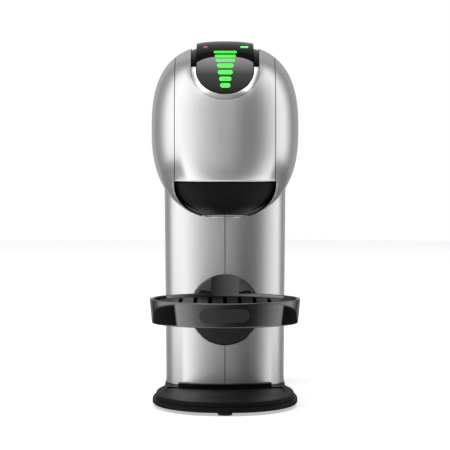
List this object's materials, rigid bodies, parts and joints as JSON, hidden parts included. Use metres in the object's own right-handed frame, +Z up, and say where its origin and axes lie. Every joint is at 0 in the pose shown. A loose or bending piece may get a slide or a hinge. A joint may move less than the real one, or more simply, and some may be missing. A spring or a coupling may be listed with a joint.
{
  "type": "pod coffee machine",
  "caption": "Compact upright pod coffee machine: rounded silver head with lit touch display, lift-up locking handle, capsule drawer, height-adjustable round cup support and rear water tank.",
  "frame": {"origin": "on the worktop under the middle of the bounding box", "axes": "+Z up, -Y towards the user and the cup, +X to the right seen from the front"},
  "size_m": [0.112, 0.289, 0.273],
  "materials": {
    "silver_body": "satin silver metallic lacquer on moulded plastic",
    "silver_trim": "bright silver metallised plastic",
    "black_satin": "satin black moulded plastic",
    "black_gloss": "glossy black moulded plastic",
    "display_glass": "glossy smoked black display cover",
    "light": "green lit light guide",
    "dark_frame": "dark glass-filled plastic",
    "steel": "plain stainless steel",
    "heater_block": "cast aluminium",
    "circuit_board": "green circuit board laminate",
    "rubber": "black rubber",
    "silicone": "milky silicone",
    "tank_smoke": "smoke-tinted clear plastic"
  },
  "bodies": {
    "base": {"base_cover": "black_satin", "bottom_plate": "dark_frame", "foot_front": "rubber", "foot_middle_left": "rubber", "foot_middle_right": "rubber", "foot_rear_left": "rubber", "foot_rear_right": "rubber", "base_screw_1": "steel", "base_screw_2": "steel", "base_screw_3": "steel", "base_screw_4": "steel", "shell_left": "silver_body", "shell_right": "silver_body", "rear_panel": "black_satin", "rear_top_cover": "silver_body", "chassis": "dark_frame", "slide_rail": "dark_frame", "pump_bracket": "steel", "pump": "dark_frame", "pump_mount_lower": "rubber", "pump_mount_upper": "rubber", "flow_meter": "dark_frame", "control_board": "circuit_board", "thermoblock": "heater_block", "tank_coupling": "dark_frame", "coupling_seal": "rubber", "hose_tank": "silicone", "hose_suction": "silicone", "hose_pressure": "silicone", "hose_brew": "silicone", "cord_gland": "rubber", "capsule_bay": "black_satin", "guide_rod_left": "steel", "guide_rod_right": "steel", "hinge_pin_left": "steel", "hinge_pin_right": "steel"},
    "handle": {"handle_shell": "silver_body", "handle_frame": "dark_frame", "display_bezel": "silver_trim", "display_glass": "display_glass", "light_guide": "light", "display_board": "circuit_board"},
    "needle_carriage": {"needle_plate": "dark_frame", "needle": "steel", "needle_seal": "silicone", "lift_yoke": "steel"},
    "capsule_drawer": {"capsule_holder": "black_satin"},
    "cup_support": {"tray_ring": "black_gloss", "tray_slider": "steel", "tray_badge": "black_gloss"},
    "bowl": {"drip_bowl": "black_satin"},
    "grid": {"drip_grid": "black_gloss"},
    "tank": {"water_tank": "tank_smoke", "valve_cage": "dark_frame", "valve_spring": "steel", "lid_pin": "steel"},
    "valve": {"tank_valve": "dark_frame"},
    "lid": {"tank_lid": "black_satin"}
  },
  "joints": [
    {"name": "handle_lift", "type": "hinge", "parent": "base", "child": "handle", "pos_m": [0, 0.03, 0.24], "axis": [-1, 0, 0], "range_deg": [0, 55]},
    {"name": "needle_lift", "type": "slide", "parent": "base", "child": "needle_carriage", "axis": [0, 0, 1], "range_m": [0, 0.006]},
    {"name": "drawer_slide", "type": "slide", "parent": "base", "child": "capsule_drawer", "axis": [0, -1, 0], "range_m": [0, 0.08]},
    {"name": "support_height", "type": "slide", "parent": "base", "child": "cup_support", "axis": [0, 0, 1], "range_m": [-0.028, 0.03]},
    {"name": "bowl_lift", "type": "slide", "parent": "cup_support", "child": "bowl", "axis": [0, 0, 1], "range_m": [0, 0.02]},
    {"name": "grid_lift", "type": "slide", "parent": "bowl", "child": "grid", "axis": [0, 0, 1], "range_m": [0, 0.008]},
    {"name": "tank_lift", "type": "slide", "parent": "base", "child": "tank", "axis": [0, 0, 1], "range_m": [0, 0.15]},
    {"name": "valve_lift", "type": "slide", "parent": "tank", "child": "valve", "axis": [0, 0, 1], "range_m": [0, 0.003], "stiffness_N_per_m": 60, "deforming": ["valve_spring"]},
    {"name": "lid_hinge", "type": "hinge", "parent": "tank", "child": "lid", "pos_m": [0, 0.1395, 0.245], "axis": [-1, 0, 0], "range_deg": [0, 100]}
  ],
  "couplings": [
    {"joint": "needle_lift", "follows": "handle_lift", "m_per_rad": 0.00625}
  ]
}
